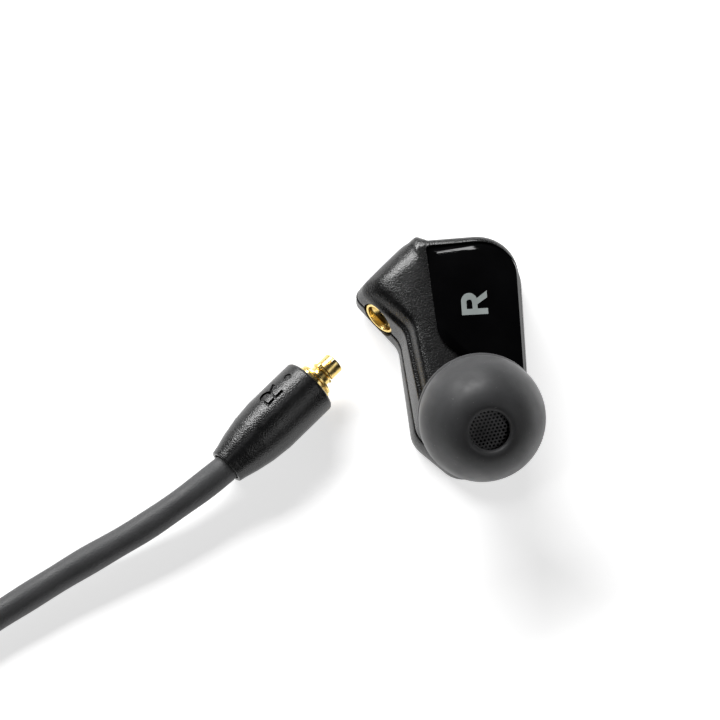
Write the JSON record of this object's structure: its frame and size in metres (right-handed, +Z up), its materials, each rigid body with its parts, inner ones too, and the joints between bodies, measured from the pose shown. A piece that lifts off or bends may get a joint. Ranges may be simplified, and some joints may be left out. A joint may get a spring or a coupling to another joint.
{
  "type": "in ear monitors",
  "caption": "Right in-ear stage monitor with a silicone tip, and its detachable two-branch cable with gold snap plugs and a jack.",
  "frame": {"origin": "centre of the flat outer face that the right earpiece rests on", "axes": "+Z up out of the rest face, +X towards the earpiece's straight side, +Y away from the ear tip"},
  "size_m": [0.1135, 0.0674, 0.0174],
  "materials": {
    "shell": "fine-grained matte black moulding",
    "gloss_panel": "polished piano black",
    "nozzle": "smooth satin black",
    "mesh": "black coated perforated steel",
    "foam": "open-cell damping foam",
    "steel": "plated steel",
    "magnet": "nickel-plated magnet",
    "board": "circuit board",
    "gold": "gold-plated brass",
    "insulator": "natural fluoropolymer",
    "silicone": "soft matte silicone",
    "copper": "enamelled copper wire",
    "film": "thin formed film",
    "moulded_rubber": "fine-grained soft moulding",
    "strap": "hook-and-loop tape",
    "cable": "satin cable jacket",
    "sleeve": "shrunk ear-guide sleeve",
    "grip": "black anodised barrel"
  },
  "bodies": {
    "earpiece": {"outer_shell": "shell", "inner_shell": "shell", "gloss_panel": "gloss_panel", "nozzle": "nozzle", "nozzle_mesh": "mesh", "nozzle_damper": "foam", "driver_basket": "steel", "driver_magnet": "magnet", "pole_plate": "steel", "treble_driver": "steel", "crossover_board": "board", "socket_shell": "gold", "socket_insulator": "insulator", "socket_contact": "gold"},
    "ear_tip": {"ear_tip": "silicone"},
    "diaphragm": {"voice_coil": "copper", "diaphragm": "film"},
    "cable": {"right_ear_guide": "sleeve", "right_branch_tail": "cable", "right_branch_lead": "cable", "left_branch_lead": "cable", "left_branch_end": "cable", "left_ear_guide": "sleeve", "trunk_lead": "cable", "trunk_tail": "cable", "trunk_coil": "cable", "branch_coil": "cable", "y_splitter": "moulded_rubber", "coil_tie": "strap", "left_plug_boot": "moulded_rubber", "left_plug_shell": "gold", "left_plug_snap_ring": "gold", "left_plug_insulator": "insulator", "left_plug_pin": "gold", "jack_strain_relief": "moulded_rubber", "jack_grip": "grip", "jack_sleeve": "gold", "jack_rear_insulator": "moulded_rubber", "jack_ring": "gold", "jack_front_insulator": "moulded_rubber", "jack_tip": "gold"},
    "right_plug": {"right_plug_boot": "moulded_rubber", "right_plug_shell": "gold", "right_plug_snap_ring": "gold", "right_plug_insulator": "insulator", "right_plug_pin": "gold"},
    "slider": {"cable_slider": "moulded_rubber"}
  },
  "joints": [
    {"name": "ear_tip_pull", "type": "slide", "parent": "earpiece", "child": "ear_tip", "axis": [0.1054, -0.527, 0.8433], "range_m": [0, 0.01]},
    {"name": "diaphragm_travel", "type": "slide", "parent": "earpiece", "child": "diaphragm", "axis": [0, 0, 1], "range_m": [-0.00015, 0.00015], "stiffness_N_per_m": 80},
    {"name": "plug_in", "type": "slide", "parent": "earpiece", "child": "cable", "axis": [0.6947, 0.7193, 0], "range_m": [0, 0.0087]},
    {"name": "plug_swivel", "type": "hinge", "parent": "cable", "child": "right_plug", "pos_m": [-0.0092, 0.00405, 0.0033], "axis": [0.6947, 0.7193, 0], "continuous": true},
    {"name": "slider_run", "type": "slide", "parent": "cable", "child": "slider", "axis": [-1, 0, 0], "range_m": [0, 0.003]}
  ]
}
